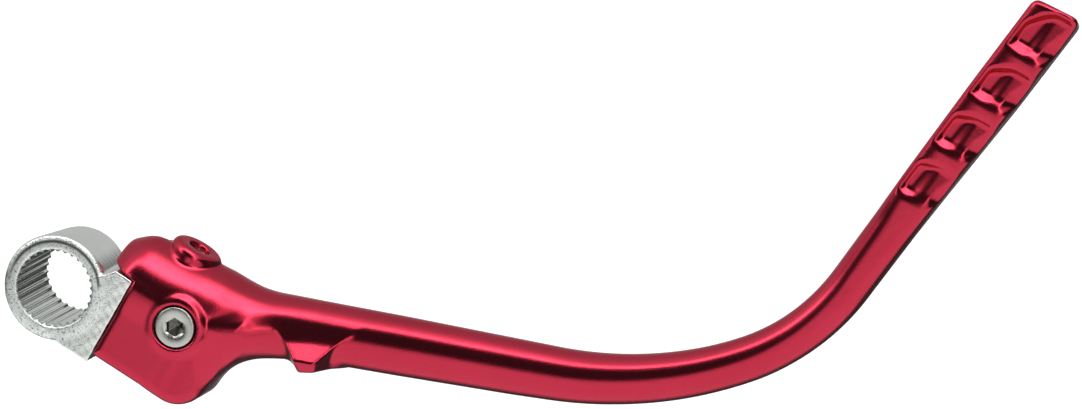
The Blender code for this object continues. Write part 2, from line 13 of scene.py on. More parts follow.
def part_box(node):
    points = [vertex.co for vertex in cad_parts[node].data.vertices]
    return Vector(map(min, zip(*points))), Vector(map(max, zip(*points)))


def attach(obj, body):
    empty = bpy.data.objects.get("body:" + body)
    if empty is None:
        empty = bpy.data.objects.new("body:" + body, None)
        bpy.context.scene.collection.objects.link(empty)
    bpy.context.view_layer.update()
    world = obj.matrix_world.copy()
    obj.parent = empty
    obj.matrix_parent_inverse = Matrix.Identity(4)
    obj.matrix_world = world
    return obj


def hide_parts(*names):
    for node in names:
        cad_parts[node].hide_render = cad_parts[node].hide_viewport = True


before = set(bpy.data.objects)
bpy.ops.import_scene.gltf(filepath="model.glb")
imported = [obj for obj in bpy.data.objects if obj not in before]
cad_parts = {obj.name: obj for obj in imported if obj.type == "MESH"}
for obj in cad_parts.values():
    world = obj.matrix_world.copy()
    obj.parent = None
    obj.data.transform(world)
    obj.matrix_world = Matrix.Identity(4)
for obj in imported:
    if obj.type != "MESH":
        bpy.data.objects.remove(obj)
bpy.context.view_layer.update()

MM = 0.001

# ---------------------------------------------------------------- places, from the frame
KNUCKLE_LOW, KNUCKLE_HIGH = (np.array(corner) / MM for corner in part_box("knuckle"))
SCREW_LOW, SCREW_HIGH = (np.array(corner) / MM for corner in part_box("retaining_screw"))
PLUG_LOW, PLUG_HIGH = (np.array(corner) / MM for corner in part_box("detent_plug"))
ARM_HIGH = np.array(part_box("lever_arm")[1]) / MM
WASHER_LOW = np.array(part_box("thrust_washer")[0]) / MM

SCREW_X = 0.5 * (SCREW_LOW[0] + SCREW_HIGH[0])
PIVOT_Z = 0.5 * (SCREW_LOW[2] + SCREW_HIGH[2])
BOSS_X = 0.5 * (PLUG_LOW[0] + PLUG_HIGH[0])

# ---------------------------------------------------------------- driving sizes, in millimetres
GAP = 0.3  # between pieces

# head of the arm
HEAD_START = WASHER_LOW[0]  # its flat end
HEAD_LOW = -9.15  # its underside, which also sinks a little towards the corner
HEAD_SINK_X, HEAD_SINK = 30.0, 0.07
CORNER_X, CORNER_R = 43.4, 7.0
NOSE_X = 8.5
NOSE_UNDER = 12.4
NOSE_BACK = 1.0
CHEEK_Y = 13.0
CHEEK_DRAW_X, CHEEK_DRAW_LENGTH, CHEEK_DRAW = 31.0, 14.0, 6.0
BOSS_R, BOSS_TOP, BOSS_HOLE_R = 6.5, 25.0, 2.7
PAD_R = 7.9
SCREW_SEAT_R, SCREW_HEAD_LENGTH, SCREW_HOLE_R = 5.35, 3.4, 3.3
BUSH_BORE_R, SEAL_BORE_R = 8.9, 9.8

# arm: a short run over the head, an arc, a long straight, two arcs and the foot piece
HEAD_AXIS_Z = 9.0
HEAD_ARC_R = 60.0
ARM_ANGLE = math.radians(23.1)
ARM_MARK_X, ARM_MARK_Z = 60.0, 23.9  # a point on the straight's centre line
ARM_MARK_TO_BEND = 58.9
BENDS = ((102.0, math.radians(27.2)), (57.5, math.radians(33.0)))
FOOT_LENGTH = 86.0

# foot piece
FACE_OUT = 6.2  # the tread's face, towards the near side
FACET_OUT = 6.60
FACET_NORMAL_OUT, FACET_NORMAL_LEFT = 0.966, 0.259
FACET_LENGTH, FACET_RELEASE = 66.0, 0.08
TIP_OVERHANG, TIP_SKEW, TIP_RAKE = 0.9, 0.22, 0.35
POCKET_COUNT = 4
POCKET_PITCH = 15.2
POCKET_FIRST = 13.2  # from the end of the path to the ledge of the first pocket
POCKET_LENGTH, FIRST_POCKET_EXTRA = 12.1, 2.1
POCKET_SKEW = 0.18

# knuckle
RING_R = 13.05  # at the near face, from where it tapers
RING_TAPER = 0.07
RING_NEAR_RIM, RING_FAR_RIM = 1.6, 2.0
RING_FALL_R, RING_FALL = 11.1, 0.28  # where the near face starts to fall away, and its slope
BLOCK_END_X = 15.9
BLOCK_TOP, BLOCK_LOW = 12.1, -11.2
JOURNAL_R, GROOVE_R, NECK_R = 7.0, 5.0, 3.3
JOURNAL_START_X = 15.6
TRACK_R = 4.9  # of the groove that the ball runs in
SPLINE_TEETH = 30
SPLINE_ROOT_R, SPLINE_TIP_R = 9.5, 8.9

# ---------------------------------------------------------------- camera and light
VIEW = Vector((0.1563, -0.945, 0.2872)).normalized()  # towards the lens
UP = Vector((-0.535, 0.1635, 0.8286)).normalized()
RIGHT = UP.cross(VIEW).normalized()
CAMERA_DISTANCE = 4330.0
FRAME_WIDTH = 259.68
BORE_TO_CENTRE_RIGHT, BORE_TO_CENTRE_UP = 114.384, 18.6  # from the bore to the middle of the picture
FOCUS_TOWARDS_LENS = 40.0
FLOOR_Z, FLOOR_HALF = -90.0, 3000.0
PEAK = 5.0  # the world's strength, which its ramps are shares of
BACKDROP = 0.97


# ---------------------------------------------------------------- distance fields
def smooth_min(a, b, k):
    h = np.maximum(k - np.abs(a - b), 0.0) / k
    return np.minimum(a, b) - h * h * k * 0.25


def smooth_max(a, b, k):
    return -smooth_min(-a, -b, k)


def rounded_cylinder(along, radial, low, high, radius, rim):
    """Cylinder between two stations, with both rims rounded."""
    d_r = radial - radius + rim
    d_a = np.maximum(low - along, along - high) + rim
    outside = np.sqrt(np.maximum(d_r, 0) ** 2 + np.maximum(d_a, 0) ** 2)
    return outside + np.minimum(np.maximum(d_r, d_a), 0) - rim


def soften_table(rows, step=0.5, reach=5.0):
    """Rows of (position, values...) as a dense table, with the corners between rows rounded off."""
    rows = np.array(rows, float)
    at = np.arange(rows[0, 0] - reach, rows[-1, 0] + reach, step)
    weights = np.exp(-0.5 * (np.arange(-reach, reach + step, step) / (0.4 * reach)) ** 2)
    weights /= weights.sum()
    half = len(weights) // 2
    columns = []
    for column in rows[:, 1:].T:
        dense = np.pad(np.interp(at, rows[:, 0], column), half, mode="edge")
        columns.append(np.convolve(dense, weights, mode="valid")[: len(at)])
    return at, columns


class Path:
    """Lines and left-turning arcs in the XZ plane, joined end to end."""

    def __init__(self, x, z, angle, pieces):
        self.pieces = []
        length = 0.0
        for radius, size in pieces:  # radius None is a line of that length, otherwise an arc of that angle
            self.pieces.append((x, z, angle, radius, size, length))
            if radius is None:
                x, z = x + size * math.cos(angle), z + size * math.sin(angle)
                length += size
            else:
                end = angle + size
                x += radius * (math.sin(end) - math.sin(angle))
                z -= radius * (math.cos(end) - math.cos(angle))
                angle = end
                length += radius * size
        self.length = length

    def coordinates(self, x, z):
        """Distance along the path, and offset to its left, of each point."""
        best = np.full(np.broadcast(x, z).shape, 1e9)
        along = np.zeros_like(best)
        offset = np.zeros_like(best)
        last = len(self.pieces) - 1
        for index, (px, pz, angle, radius, size, start) in enumerate(self.pieces):
            dx, dz = x - px, z - pz
            if radius is None:
                s = dx * math.cos(angle) + dz * math.sin(angle)
                u = -dx * math.sin(angle) + dz * math.cos(angle)
                low = -1e9 if index == 0 else 0.0
                high = 1e9 if index == last else size
                clipped = np.clip(s, low, high)
                over = s - clipped
            else:
                cx, cz = px - radius * math.sin(angle), pz + radius * math.cos(angle)
                turn = np.arctan2(x - cx, cz - z) - angle
                turn = (turn + math.pi) % (2 * math.pi) - math.pi
                clipped = np.clip(turn, 0.0, size) * radius
                over = (turn - np.clip(turn, 0.0, size)) * radius
                u = radius - np.hypot(x - cx, z - cz)
            distance = np.hypot(u, over)
            closer = distance < best
            best = np.where(closer, distance, best)
            along = np.where(closer, start + clipped, along)
            offset = np.where(closer, u, offset)
        return along, offset


# where the head's axis would meet the straight's, and how far the arc between them reaches from there
CORNER_AT = ARM_MARK_X - (ARM_MARK_Z - HEAD_AXIS_Z) / math.tan(ARM_ANGLE)
TANGENT = HEAD_ARC_R * math.tan(ARM_ANGLE / 2)
HEAD_RUN = CORNER_AT - TANGENT - NOSE_X
ARC_TO_MARK = (ARM_MARK_X - CORNER_AT) / math.cos(ARM_ANGLE) - TANGENT
ARM_PATH = Path(
    NOSE_X,
    HEAD_AXIS_Z,
    0.0,
    [
        (None, HEAD_RUN),
        (HEAD_ARC_R, ARM_ANGLE),
        (None, ARC_TO_MARK + ARM_MARK_TO_BEND),
        *BENDS,
        (None, FOOT_LENGTH),
    ],
)
ARM_S0 = HEAD_RUN + HEAD_ARC_R * ARM_ANGLE + ARC_TO_MARK  # the mark's distance along the path
TIP_S = ARM_PATH.length

# position along the path, half depth, half width above and below, squareness
SECTION_AT, (SECTION_A, SECTION_UP, SECTION_LOW, SECTION_N) = soften_table(
    [
        (0.0, 5.5, 8.0, 9.0, 2.0),
        (0.9, 8.0, 9.3, 9.0, 2.0),
        (2.0, 9.8, 10.4, 10.0, 2.0),
        (4.0, 11.6, 12.2, 11.5, 2.0),
        (6.0, 12.4, 12.8, 13.0, 2.0),
        (8.5, 12.7, 13.1, 13.8, 2.0),
        (12.0, 12.8, 13.0, 14.0, 2.0),
        (15.5, 12.8, 12.7, 14.0, 2.0),
        (22.0, 12.7, 12.2, 13.0, 2.0),
        (26.0, 12.3, 11.8, 12.2, 2.0),
        (30.0, 11.6, 10.8, 10.8, 2.0),
        (34.0, 10.6, 9.2, 9.7, 2.0),
        (38.0, 9.7, 7.9, 9.2, 2.0),
        (42.0, 9.0, 7.4, 8.8, 2.05),
        (46.0, 8.4, 7.4, 8.2, 2.1),
        (ARM_S0, 7.6, 7.3, 7.5, 2.1),
        (ARM_S0 + 20, 7.2, 7.1, 7.4, 2.1),
        (ARM_S0 + 50, 6.9, 6.5, 7.0, 2.1),
        (ARM_S0 + 75, 6.4, 6.0, 6.2, 2.1),
        (ARM_S0 + 100, 6.05, 5.5, 5.7, 2.1),
        (ARM_S0 + 120, 5.8, 5.3, 5.4, 2.1),
        (ARM_S0 + 142, 5.6, 5.25, 5.35, 2.2),
        (ARM_S0 + 160, 5.7, 5.5, 5.3, 2.7),
        (ARM_S0 + 172, 5.75, 5.7, 5.4, 4.6),
        (ARM_S0 + 200, 6.0, 6.0, 6.1, 6.0),
        (ARM_S0 + 230, 6.2, 6.1, 6.2, 6.0),
    ],
    reach=3.0,
)


def tube_field(s, u, y):
    """Superelliptic section swept along the path, measured along the ray from its centre."""
    a = np.interp(s, SECTION_AT, SECTION_A)
    b = np.where(u > 0, np.interp(s, SECTION_AT, SECTION_UP), np.interp(s, SECTION_AT, SECTION_LOW))
    n = np.interp(s, SECTION_AT, SECTION_N)
    ratio = ((np.abs(y) / a) ** n + (np.abs(u) / b) ** n) ** (1 / n)
    radial = np.hypot(y, u)
    return np.where(ratio > 1e-3, radial - radial / np.maximum(ratio, 1e-3), -np.minimum(a, b))


def plane_stack(point, planes, k):
    """Convex shape as the smooth intersection of half spaces, each a (normal, offset)."""
    field = None
    for normal, offset in planes:
        normal = np.array(normal, float)
        size = np.linalg.norm(normal)
        d = sum(c * n for c, n in zip(point, normal / size)) - offset / size
        field = d if field is None else smooth_max(field, d, k)
    return field


def lug_field(s, u, y):
    """Stop lug. Its own axes are along the arm, down across it, and towards the near side."""
    along = s - ARM_S0
    down, out = -u, -y
    planes = [
        ((0, -0.588, 0.809), 6.4),
        ((0, 0.6, 0.8), 13.4),
        ((0.16, 0.99, 0), 8.6),
        ((-0.80, 0.484, 0.36), 9.4),
        ((0.82, 0.435, 0.37), 9.1),
        ((0, -1, 0), 2.5),
        ((0, 0, -1), 2.0),
    ]
    return plane_stack((along, down, out), planes, 0.6)


def pocket_field(s, u, y):
    """The tread's pockets, as one field that is negative inside them."""
    field = None
    right, out = -u, -y
    below = FACE_OUT - out
    for index in range(POCKET_COUNT):
        ledge = TIP_S - POCKET_FIRST - POCKET_PITCH * index
        along = s - ledge - POCKET_SKEW * right
        # the left of the floor lies deeper than the right, with a slope between them
        left_depth = 2.6 - 0.12 * index
        right_depth = 1.75 - 0.25 * index + 0.05 * along
        middle, half = 0.6 - 0.3 * index, 1.5 + 0.2 * index
        share = np.clip((right - middle + half) / (2 * half), 0, 1)
        share = share * share * (3 - 2 * share)
        depth = left_depth + (right_depth - left_depth) * share
        side = 3.2 + 0.33 * np.maximum(along - 5, 0)
        depth = np.maximum(depth + 0.8 * np.maximum(right - side, 0), 0.15)
        floor = below - depth
        ramp = (2.6 * below / depth - along) / np.sqrt(1 + (2.6 / depth) ** 2)
        top = POCKET_LENGTH + (FIRST_POCKET_EXTRA if index == 0 else 0.0)
        lip = top - 0.36 / (index + 1) * np.maximum(1.5 - right, 0) ** 1.57
        upper = 0.707 * (along - lip + below)
        left = -(right + 4.5 - 0.35 * below)
        inside = smooth_max(smooth_max(floor, ramp, 0.5), smooth_max(upper, left, 0.8), 0.7)
        field = inside if field is None else np.minimum(field, inside)
    return field


def arm_field(p):
    x, y, z = p[..., 0], p[..., 1], p[..., 2]
    s, u = ARM_PATH.coordinates(x, z)
    lobe = tube_field(s, u, y)
    # a long facet on the upper front corner of the foot piece
    facet = FACET_NORMAL_OUT * -y + FACET_NORMAL_LEFT * u - FACET_OUT
    facet = facet - np.maximum((TIP_S - FACET_LENGTH - s) * FACET_RELEASE, 0)
    lobe = smooth_max(lobe, facet, 0.8)
    # the end of the foot piece is cut askew
    right, out = -u, -y
    tip = 0.94 * (s - TIP_S - TIP_OVERHANG - TIP_SKEW * (right + 4.5) + TIP_RAKE * (FACE_OUT - out))
    lobe = smooth_max(lobe, tip, 2.4)
    lobe = smooth_max(lobe, NOSE_X - x, 1.4)

    # flat-cheeked lower body, which draws in towards the arm
    bottom = HEAD_LOW - HEAD_SINK * np.maximum(x - HEAD_SINK_X, 0)
    qx = np.maximum(x - (CORNER_X - CORNER_R), 0)
    qz = np.maximum(bottom + CORNER_R - z, 0)
    straight_sides = np.maximum(x - CORNER_X, bottom - z)
    outline = np.where((qx > 0) & (qz > 0), np.hypot(qx, qz) - CORNER_R, straight_sides)
    outline = smooth_max(outline, z - 13.0, 2.0)
    outline = np.maximum(outline, HEAD_START - 1 - x)
    draw = np.clip((x - CHEEK_DRAW_X) / CHEEK_DRAW_LENGTH, 0, 1)
    half_depth = CHEEK_Y - 0.32 - CHEEK_DRAW * draw * draw
    body = smooth_max(outline, np.abs(y) - half_depth, 2.6)
    blend = 1.0 + 9.0 * np.clip((x - 36.0) / 8.0, 0, 1)
    solid = smooth_min(lobe, body, blend)

    boss = rounded_cylinder(z, np.hypot(x - BOSS_X, y), 5.0, BOSS_TOP, BOSS_R, 1.7)
    solid = smooth_min(solid, boss, 0.7)
    pad = rounded_cylinder(-y, np.hypot(x - SCREW_X, z - PIVOT_Z), 4.0, CHEEK_Y - 0.08, PAD_R, 2.0)
    solid = smooth_min(solid, pad, 0.7)
    solid = smooth_min(solid, lug_field(s, u, y), 1.8)

    # the nose, and the flat end of the head below and behind it
    nose = smooth_max(NOSE_UNDER - z, y - NOSE_BACK, 0.8)
    solid = smooth_max(solid, smooth_min(HEAD_START - x, nose, 0.3), 0.6)

    # seats
    radial = np.hypot(y, z - PIVOT_Z)
    bore = np.minimum(
        np.maximum(radial - SEAL_BORE_R, np.abs(x - 17.9) - 2.7),
        np.maximum(radial - BUSH_BORE_R, np.abs(x - 26.0) - 11.6),
    )
    solid = smooth_max(solid, -bore, 0.3)
    radial = np.hypot(x - SCREW_X, z - PIVOT_Z)
    seat = np.maximum(radial - SCREW_SEAT_R, y - (SCREW_LOW[1] + SCREW_HEAD_LENGTH + GAP))
    shank = np.maximum(radial - SCREW_HOLE_R, y + 7.0)
    solid = smooth_max(solid, -seat, 0.7)
    solid = smooth_max(solid, -shank, 0.2)
    hole = np.maximum(np.hypot(x - BOSS_X, y) - BOSS_HOLE_R, PIVOT_Z + 7.0 - z)
    solid = smooth_max(solid, -hole, 0.6)

    solid = smooth_max(solid, -pocket_field(s, u, y), 0.8)
    return solid


def knuckle_field(p):
    x, y, z = p[..., 0], p[..., 1], p[..., 2]
    radial = np.hypot(x, z)
    half = KNUCKLE_HIGH[1]
    rim = np.where(y < 0, RING_NEAR_RIM, RING_FAR_RIM)
    ring = rounded_cylinder(y, radial + RING_TAPER * (y + half), -half, half, RING_R, rim)
    # the near face falls away gently towards its rim
    ring = smooth_max(ring, 0.96 * (-y - half + RING_FALL * (radial - RING_FALL_R)), 0.3)

    # block beside the ring
    block = plane_stack(
        (x, y, z),
        [
            ((1, 0, 0), BLOCK_END_X),
            ((0, 0, -1), -BLOCK_LOW),
            ((0, 0, 1), BLOCK_TOP),
            ((-0.78, 0, 0.62), -0.78 * 11.0 + 0.62 * BLOCK_TOP),
            ((-0.3, 0, -1), 0.3 * -7.5 - BLOCK_LOW),
            ((-1, 0, 0), -2.0),
            ((0, -1, 0), half),
            ((0, 1, 0), half),
        ],
        0.35,
    )
    solid = smooth_min(ring, block, 0.9)
    uneven = np.sin(1.7 * x + 0.9 * z) * np.sin(1.9 * y - 0.7 * x) * np.sin(2.1 * z + 0.5 * y)
    solid = solid + 0.03 * uneven

    # relief at the back, where the nose swings through
    neck = np.hypot(y, z - PIVOT_Z) - 3.6
    relief = np.maximum(np.maximum(8.3 - x, -y), np.maximum(7.0 - z, -neck))
    solid = smooth_max(solid, -relief, 0.8)

    # journal
    off_axis = np.hypot(y, z - PIVOT_Z)
    radius = np.where(np.abs(x - SCREW_X) < 2.4, GROOVE_R, JOURNAL_R)
    track = TRACK_R + np.maximum(np.abs(x - BOSS_X) - 1.5, 0) * 2.1
    radius = np.minimum(radius, track)
    end = KNUCKLE_HIGH[0]
    stub = np.maximum(off_axis - radius, np.maximum(JOURNAL_START_X - x, x - end))
    stub = smooth_max(stub, (off_axis - JOURNAL_R + x - end + 1.0) * 0.7071, 0.3)
    root = np.maximum(off_axis - NECK_R, np.abs(x - 14.5) - 1.6)
    solid = np.minimum(solid, np.minimum(stub, root))

    # splined bore
    pitch = 2 * math.pi / SPLINE_TEETH
    angle = np.arctan2(z, x)
    phase = np.abs((angle / pitch + 0.35) % 1.0 - 0.5) * pitch * 9.1
    tooth = np.clip((phase - 0.42) / 0.42, 0, 1)
    wall = np.maximum(SPLINE_ROOT_R - 0.8 * tooth, SPLINE_TIP_R)
    bore = 0.9 * (radial - wall)
    # a chamfer at each mouth
    past = np.abs(y) - (half - 0.7)
    bore = np.where(past < 0, bore, np.minimum(bore, radial - 9.0 - 0.9 * past))
    solid = smooth_max(solid, -bore, 0.25)
    return solid


# ---------------------------------------------------------------- meshing a field
def mesh_field(field, low, high, cell, block=12):
    """Closed quad mesh of the field's zero surface, with its points moved onto the surface."""
    low = np.array(low, float)
    counts = np.ceil((np.array(high, float) - low) / (cell * block)).astype(int)
    reach = 0.9 * cell * block
    centres = np.stack(np.meshgrid(*[np.arange(n) for n in counts], indexing="ij"), -1).reshape(-1, 3)
    near = np.abs(field(low + (centres + 0.5) * cell * block)) < reach * 1.35
    blocks = centres[near] * block
    side = block + 1
    steps = np.stack(np.meshgrid(*[np.arange(side)] * 3, indexing="ij"), -1)
    stride = np.array([1, counts[0] * block + 2, (counts[0] * block + 2) * (counts[1] * block + 2)])

    cell_ids, cell_points, quads = [], [], []
    for first in range(0, len(blocks), 48):
        group = blocks[first : first + 48]
        index = group[:, None, None, None, :] + steps
        value = field(low + index * cell).astype(np.float64)
        inside = value < 0
        # one point for each cell that the surface crosses: the mean of its edges' crossings
        total = np.zeros((len(group), block, block, block, 3))
        count = np.zeros((len(group), block, block, block))
        for axis in range(3):
            others = [a for a in range(3) if a != axis]
            for i in (0, 1):
                for j in (0, 1):
                    start = [0, 0, 0]
                    start[others[0]], start[others[1]] = i, j
                    end = list(start)
                    end[axis] = 1
                    a = value[(slice(None), *[slice(k, k + block) for k in start])]
                    b = value[(slice(None), *[slice(k, k + block) for k in end])]
                    crossed = (a < 0) != (b < 0)
                    share = np.where(crossed, a / np.where(crossed, a - b, 1), 0)
                    for k in range(3):
                        total[..., k] += crossed * (start[k] + (share if k == axis else 0))
                    count += crossed
        used = count > 0
        cells = index[:, :block, :block, :block][used]
        cell_ids.append(cells @ stride)
        cell_points.append(low + (cells + total[used] / count[used][:, None]) * cell)
        for axis in range(3):
            a = inside[:, :block, :block, :block]
            shifted = [slice(0, block)] * 3
            shifted[axis] = slice(1, block + 1)
            b = inside[(slice(None), *shifted)]
            base = index[:, :block, :block, :block]
            for flip in (False, True):
                chosen = (a & ~b) if not flip else (~a & b)
                ids = base[chosen] @ stride
                u, v = stride[(axis + 1) % 3], stride[(axis + 2) % 3]
                ring = [ids, ids - u, ids - u - v, ids - v]
                quads.append(np.stack(ring if not flip else ring[::-1], 1))
    ids = np.concatenate(cell_ids)
    points = np.concatenate(cell_points)
    quads = np.concatenate(quads)
    order = np.argsort(ids)
    ids, points = ids[order], points[order]
    faces = np.searchsorted(ids, quads)
    return settle(field, points, faces, cell)


def gradient(field, points, step):
    parts = []
    for axis in range(3):
        offset = np.zeros(3)
        offset[axis] = step
        parts.append((field(points + offset) - field(points - offset)) / (2 * step))
    return np.stack(parts, -1)


def settle(field, points, faces, cell, rounds=2):
    """Evens out the mesh along the surface, then puts each point back onto it."""
    edges = np.concatenate([faces[:, [i, (i + 1) % 4]] for i in range(4)])
    degree = np.bincount(edges.ravel(), minlength=len(points))[:, None]
    for turn in range(rounds + 1):
        if turn < rounds:
            total = np.zeros_like(points)
            for axis in range(3):
                total[:, axis] = np.bincount(
                    edges[:, 0], points[edges[:, 1], axis], len(points)
                ) + np.bincount(edges[:, 1], points[edges[:, 0], axis], len(points))
            points = 0.5 * points + 0.5 * total / degree
        for _ in range(2):
            slope = gradient(field, points, 0.1 * cell)
            size = np.maximum((slope**2).sum(1, keepdims=True), 0.05)
            move = -field(points)[:, None] * slope / size
            points = points + np.clip(move, -cell, cell)
    return points, faces


def object_from(name, points, faces, material):
    mesh = bpy.data.meshes.new(name)
    mesh.from_pydata((points * MM).tolist(), [], [tuple(face) for face in faces])
    mesh.validate()
    mesh.shade_smooth()
    mesh.materials.append(material)
    obj = bpy.data.objects.new(name, mesh)
    bpy.context.scene.collection.objects.link(obj)
    return obj


# ---------------------------------------------------------------- materials
def new_material(name):
    material = bpy.data.materials.new(name)
    material.use_nodes = True
    tree = material.node_tree
    return material, tree, tree.nodes["Principled BSDF"]


def node(tree, kind, **inputs):
    made = tree.nodes.new(kind)
    for key, value in inputs.items():
        made.inputs[key.replace("_", " ")].default_value = value
    return made


def noise(tree, position, scale, detail=3.0, roughness=0.5):
    made = node(tree, "ShaderNodeTexNoise", Scale=scale, Detail=detail, Roughness=roughness)
    tree.links.new(position, made.inputs["Vector"])
    return made.outputs["Fac"]


def ramp(tree, value, stops):
    made = tree.nodes.new("ShaderNodeValToRGB")
    elements = made.color_ramp.elements
    while len(elements) < len(stops):
        elements.new(0.5)
    for element, (at, colour) in zip(elements, stops):
        element.position = at
        element.color = (*colour, 1.0) if len(colour) == 3 else colour
    tree.links.new(value, made.inputs["Fac"])
    return made.outputs["Color"]


def math_node(tree, operation, first, second):
    made = tree.nodes.new("ShaderNodeMath")
    made.operation = operation
    for socket, value in zip(made.inputs, (first, second)):
        if isinstance(value, (int, float)):
            socket.default_value = value
        else:
            tree.links.new(value, socket)
    return made.outputs[0]


def between(tree, value, low, high, start=0.0, end=1.0):
    """Value mapped from one range to another, clamped."""
    made = tree.nodes.new("ShaderNodeMapRange")
    made.inputs["From Min"].default_value = low
    made.inputs["From Max"].default_value = high
    made.inputs["To Min"].default_value = start
    made.inputs["To Max"].default_value = end
    tree.links.new(value, made.inputs["Value"])
    return made.outputs["Result"]


def spread(tree, noise_value, low, high):
    """A noise's middle range, widened to run from low to high."""
    return between(tree, noise_value, 0.3, 0.7, low, high)


def product(tree, first, *others):
    for other in others:
        first = math_node(tree, "MULTIPLY", first, other)
    return first


def mixed_colour(tree, share, first, second):
    """A colour socket and a fixed colour, mixed by a share."""
    mix = tree.nodes.new("ShaderNodeMix")
    mix.data_type = "RGBA"
    mix.inputs[7].default_value = (*second, 1)
    tree.links.new(share, mix.inputs["Factor"])
    tree.links.new(first, mix.inputs[6])
    return mix.outputs[2]


def object_axes(tree, position):
    parts = tree.nodes.new("ShaderNodeSeparateXYZ")
    tree.links.new(position, parts.inputs["Vector"])
    return parts.outputs


def add_bump(tree, shader, layers):
    """Chains bump nodes, each from a (height, strength, distance in metres)."""
    normal = None
    for height, strength, distance in layers:
        made = node(tree, "ShaderNodeBump", Strength=strength, Distance=distance)
        tree.links.new(height, made.inputs["Height"])
        if normal is not None:
            tree.links.new(normal, made.inputs["Normal"])
        normal = made.outputs["Normal"]
    tree.links.new(normal, shader.inputs["Normal"])


def object_position(tree):
    return tree.nodes.new("ShaderNodeTexCoord").outputs["Object"]


def red_anodised():
    """Satin red anodising over a tumbled forging: a coloured metal under a thin clear film."""
    material, tree, shader = new_material("red_anodised_aluminium")
    position = object_position(tree)
    cloud = noise(tree, position, 35.0, 3.0)
    grain = noise(tree, position, 3400.0, 2.0)
    colour = ramp(tree, cloud, [(0.3, (0.49, 0.016, 0.046)), (0.7, (0.54, 0.020, 0.055))])
    tree.links.new(colour, shader.inputs["Base Color"])
    shader.inputs["Metallic"].default_value = 1.0
    tree.links.new(spread(tree, cloud, 0.11, 0.15), shader.inputs["Roughness"])
    shader.inputs["Coat Weight"].default_value = 0.35
    shader.inputs["Coat Roughness"].default_value = 0.15
    shader.inputs["Sheen Weight"].default_value = 0.06
    shader.inputs["Coat IOR"].default_value = 1.5
    shader.inputs["Specular Tint"].default_value = (0.80, 0.35, 0.42, 1)
    add_bump(tree, shader, [(grain, 0.4, 0.00008)])
    return material


def zinc_plate():
    """Zinc plating on a forging: satin outside, with the near faces left rough and pitted."""
    material, tree, shader = new_material("zinc_plated_steel")
    position = object_position(tree)
    cloud = noise(tree, position, 60.0, 4.0)
    fine = noise(tree, position, 900.0, 3.0, 0.6)
    speckle = noise(tree, position, 3600.0, 3.0, 0.65)
    patches = noise(tree, position, 1500.0, 2.0, 0.5)
    colour = ramp(tree, cloud, [(0.3, (0.80, 0.84, 0.81)), (0.7, (0.90, 0.93, 0.89))])
    # pits, only on the near face, and fewer on the block
    axes = object_axes(tree, position)
    near = between(tree, axes["Y"], -11.0 * MM, -11.7 * MM)
    where = product(tree, near, between(tree, axes["X"], 14.5 * MM, 9.0 * MM, 0.25, 1.0))
    rough = math_node(tree, "ADD", speckle, product(tree, patches, 0.8))
    pits = product(tree, between(tree, rough, 0.84, 0.70), where)
    # painted shade: a dark line along the inner edge of the ring's chamfer, standing in for the dark that
    # the edge reflects there
    across = math_node(tree, "POWER", axes["X"], 2.0)
    upward = math_node(tree, "POWER", axes["Z"], 2.0)
    radial = math_node(tree, "SQRT", math_node(tree, "ADD", across, upward), 0.0)
    painted_chamfer_shade = product(
        tree,
        near,
        between(tree, radial, 10.9 * MM, 11.3 * MM),
        between(tree, radial, 12.0 * MM, 11.6 * MM),
        between(tree, axes["Z"], -5.0 * MM, 1.0 * MM),
        between(tree, axes["X"], 10.0 * MM, 9.0 * MM),
    )
    # dark mask: the pits are the plating's own, the chamfer line is painted shade
    dark = math_node(tree, "MAXIMUM", pits, painted_chamfer_shade)
    tree.links.new(mixed_colour(tree, dark, colour, (0.14, 0.15, 0.14)), shader.inputs["Base Color"])
    shader.inputs["Metallic"].default_value = 1.0
    satin = math_node(tree, "ADD", spread(tree, fine, 0.12, 0.20), product(tree, where, 0.14))
    tree.links.new(satin, shader.inputs["Roughness"])
    relief = product(tree, speckle, between(tree, where, 0.0, 1.0, 0.15, 1.0))
    add_bump(tree, shader, [(fine, 0.15, 0.00005), (relief, 0.6, 0.00016)])
    return material


def plain_metal(name, colour, roughness, scale=700.0, metallic=1.0, strength=0.1):
    material, tree, shader = new_material(name)
    position = object_position(tree)
    fine = noise(tree, position, scale, 3.0)
    dark = tuple(0.88 * c for c in colour)
    tree.links.new(ramp(tree, fine, [(0.35, dark), (0.65, colour)]), shader.inputs["Base Color"])
    shader.inputs["Metallic"].default_value = metallic
    tree.links.new(spread(tree, fine, 0.85 * roughness, 1.15 * roughness), shader.inputs["Roughness"])
    add_bump(tree, shader, [(fine, strength, 0.00005)])
    return material


def screw_steel():
    """Satin stainless steel, with painted shade darkening the socket and the flank of the head."""
    material, tree, shader = new_material("stainless_screw")
    position = object_position(tree)
    fine = noise(tree, position, 1500.0, 3.0)
    colour = ramp(tree, fine, [(0.35, (0.50, 0.51, 0.47)), (0.65, (0.60, 0.61, 0.57))])
    depth = object_axes(tree, position)["Y"]
    # painted shade: everything deeper than the head's face is darkened, standing in for the shade inside the
    # socket
    painted_socket_shade = between(tree, depth, (SCREW_LOW[1] + 0.3) * MM, (SCREW_LOW[1] + 0.9) * MM)
    tree.links.new(mixed_colour(tree, painted_socket_shade, colour, (0.13, 0.13, 0.11)), shader.inputs["Base Color"])
    shader.inputs["Metallic"].default_value = 1.0
    tree.links.new(spread(tree, fine, 0.22, 0.32), shader.inputs["Roughness"])
    add_bump(tree, shader, [(fine, 0.1, 0.00005)])
    return material


